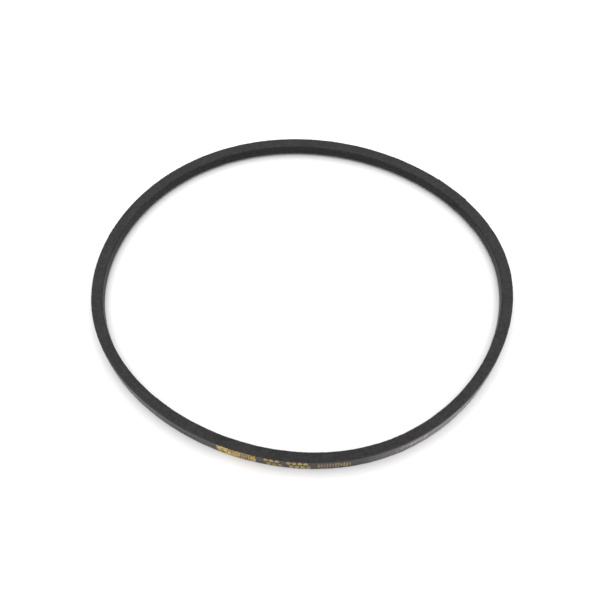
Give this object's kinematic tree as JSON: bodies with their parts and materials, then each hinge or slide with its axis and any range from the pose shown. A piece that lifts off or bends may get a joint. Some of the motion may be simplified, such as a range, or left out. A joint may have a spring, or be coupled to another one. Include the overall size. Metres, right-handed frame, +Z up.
{
  "type": "v belt",
  "caption": "Endless wrapped V-belt with a classical wedge section, black canvas cover and printed marks on its back, lying on its side.",
  "frame": {"origin": "centre of the loop, on the surface that the belt lies on", "axes": "+Z up along the loop's axis, across the belt's width; +X along the long axis of the slightly oval loop"},
  "size_m": [0.3188, 0.2953, 0.0125],
  "materials": {
    "cover_canvas": "matte rubberised bias-cut canvas",
    "inner_canvas": "matte frictioned canvas",
    "body_rubber": "moulded black rubber",
    "cord_gum": "smooth adhesion rubber",
    "tensile_cord": "treated polyester cord",
    "gold_foil": "gold transfer foil",
    "dull_gold_ink": "faded gold ink",
    "silver_ink": "worn silver ink"
  },
  "bodies": {
    "root": {"outer_cover_ply": "cover_canvas", "inner_cover_ply": "inner_canvas", "tension_rubber": "body_rubber", "upper_cord_gum": "cord_gum", "tensile_cord": "tensile_cord", "lower_cord_gum": "cord_gum", "compression_rubber": "body_rubber", "gold_label_panel": "gold_foil", "gold_marks_upper": "gold_foil", "gold_marks_lower": "gold_foil", "serial_marks": "dull_gold_ink", "batch_stamp": "silver_ink"}
  },
  "joints": []
}
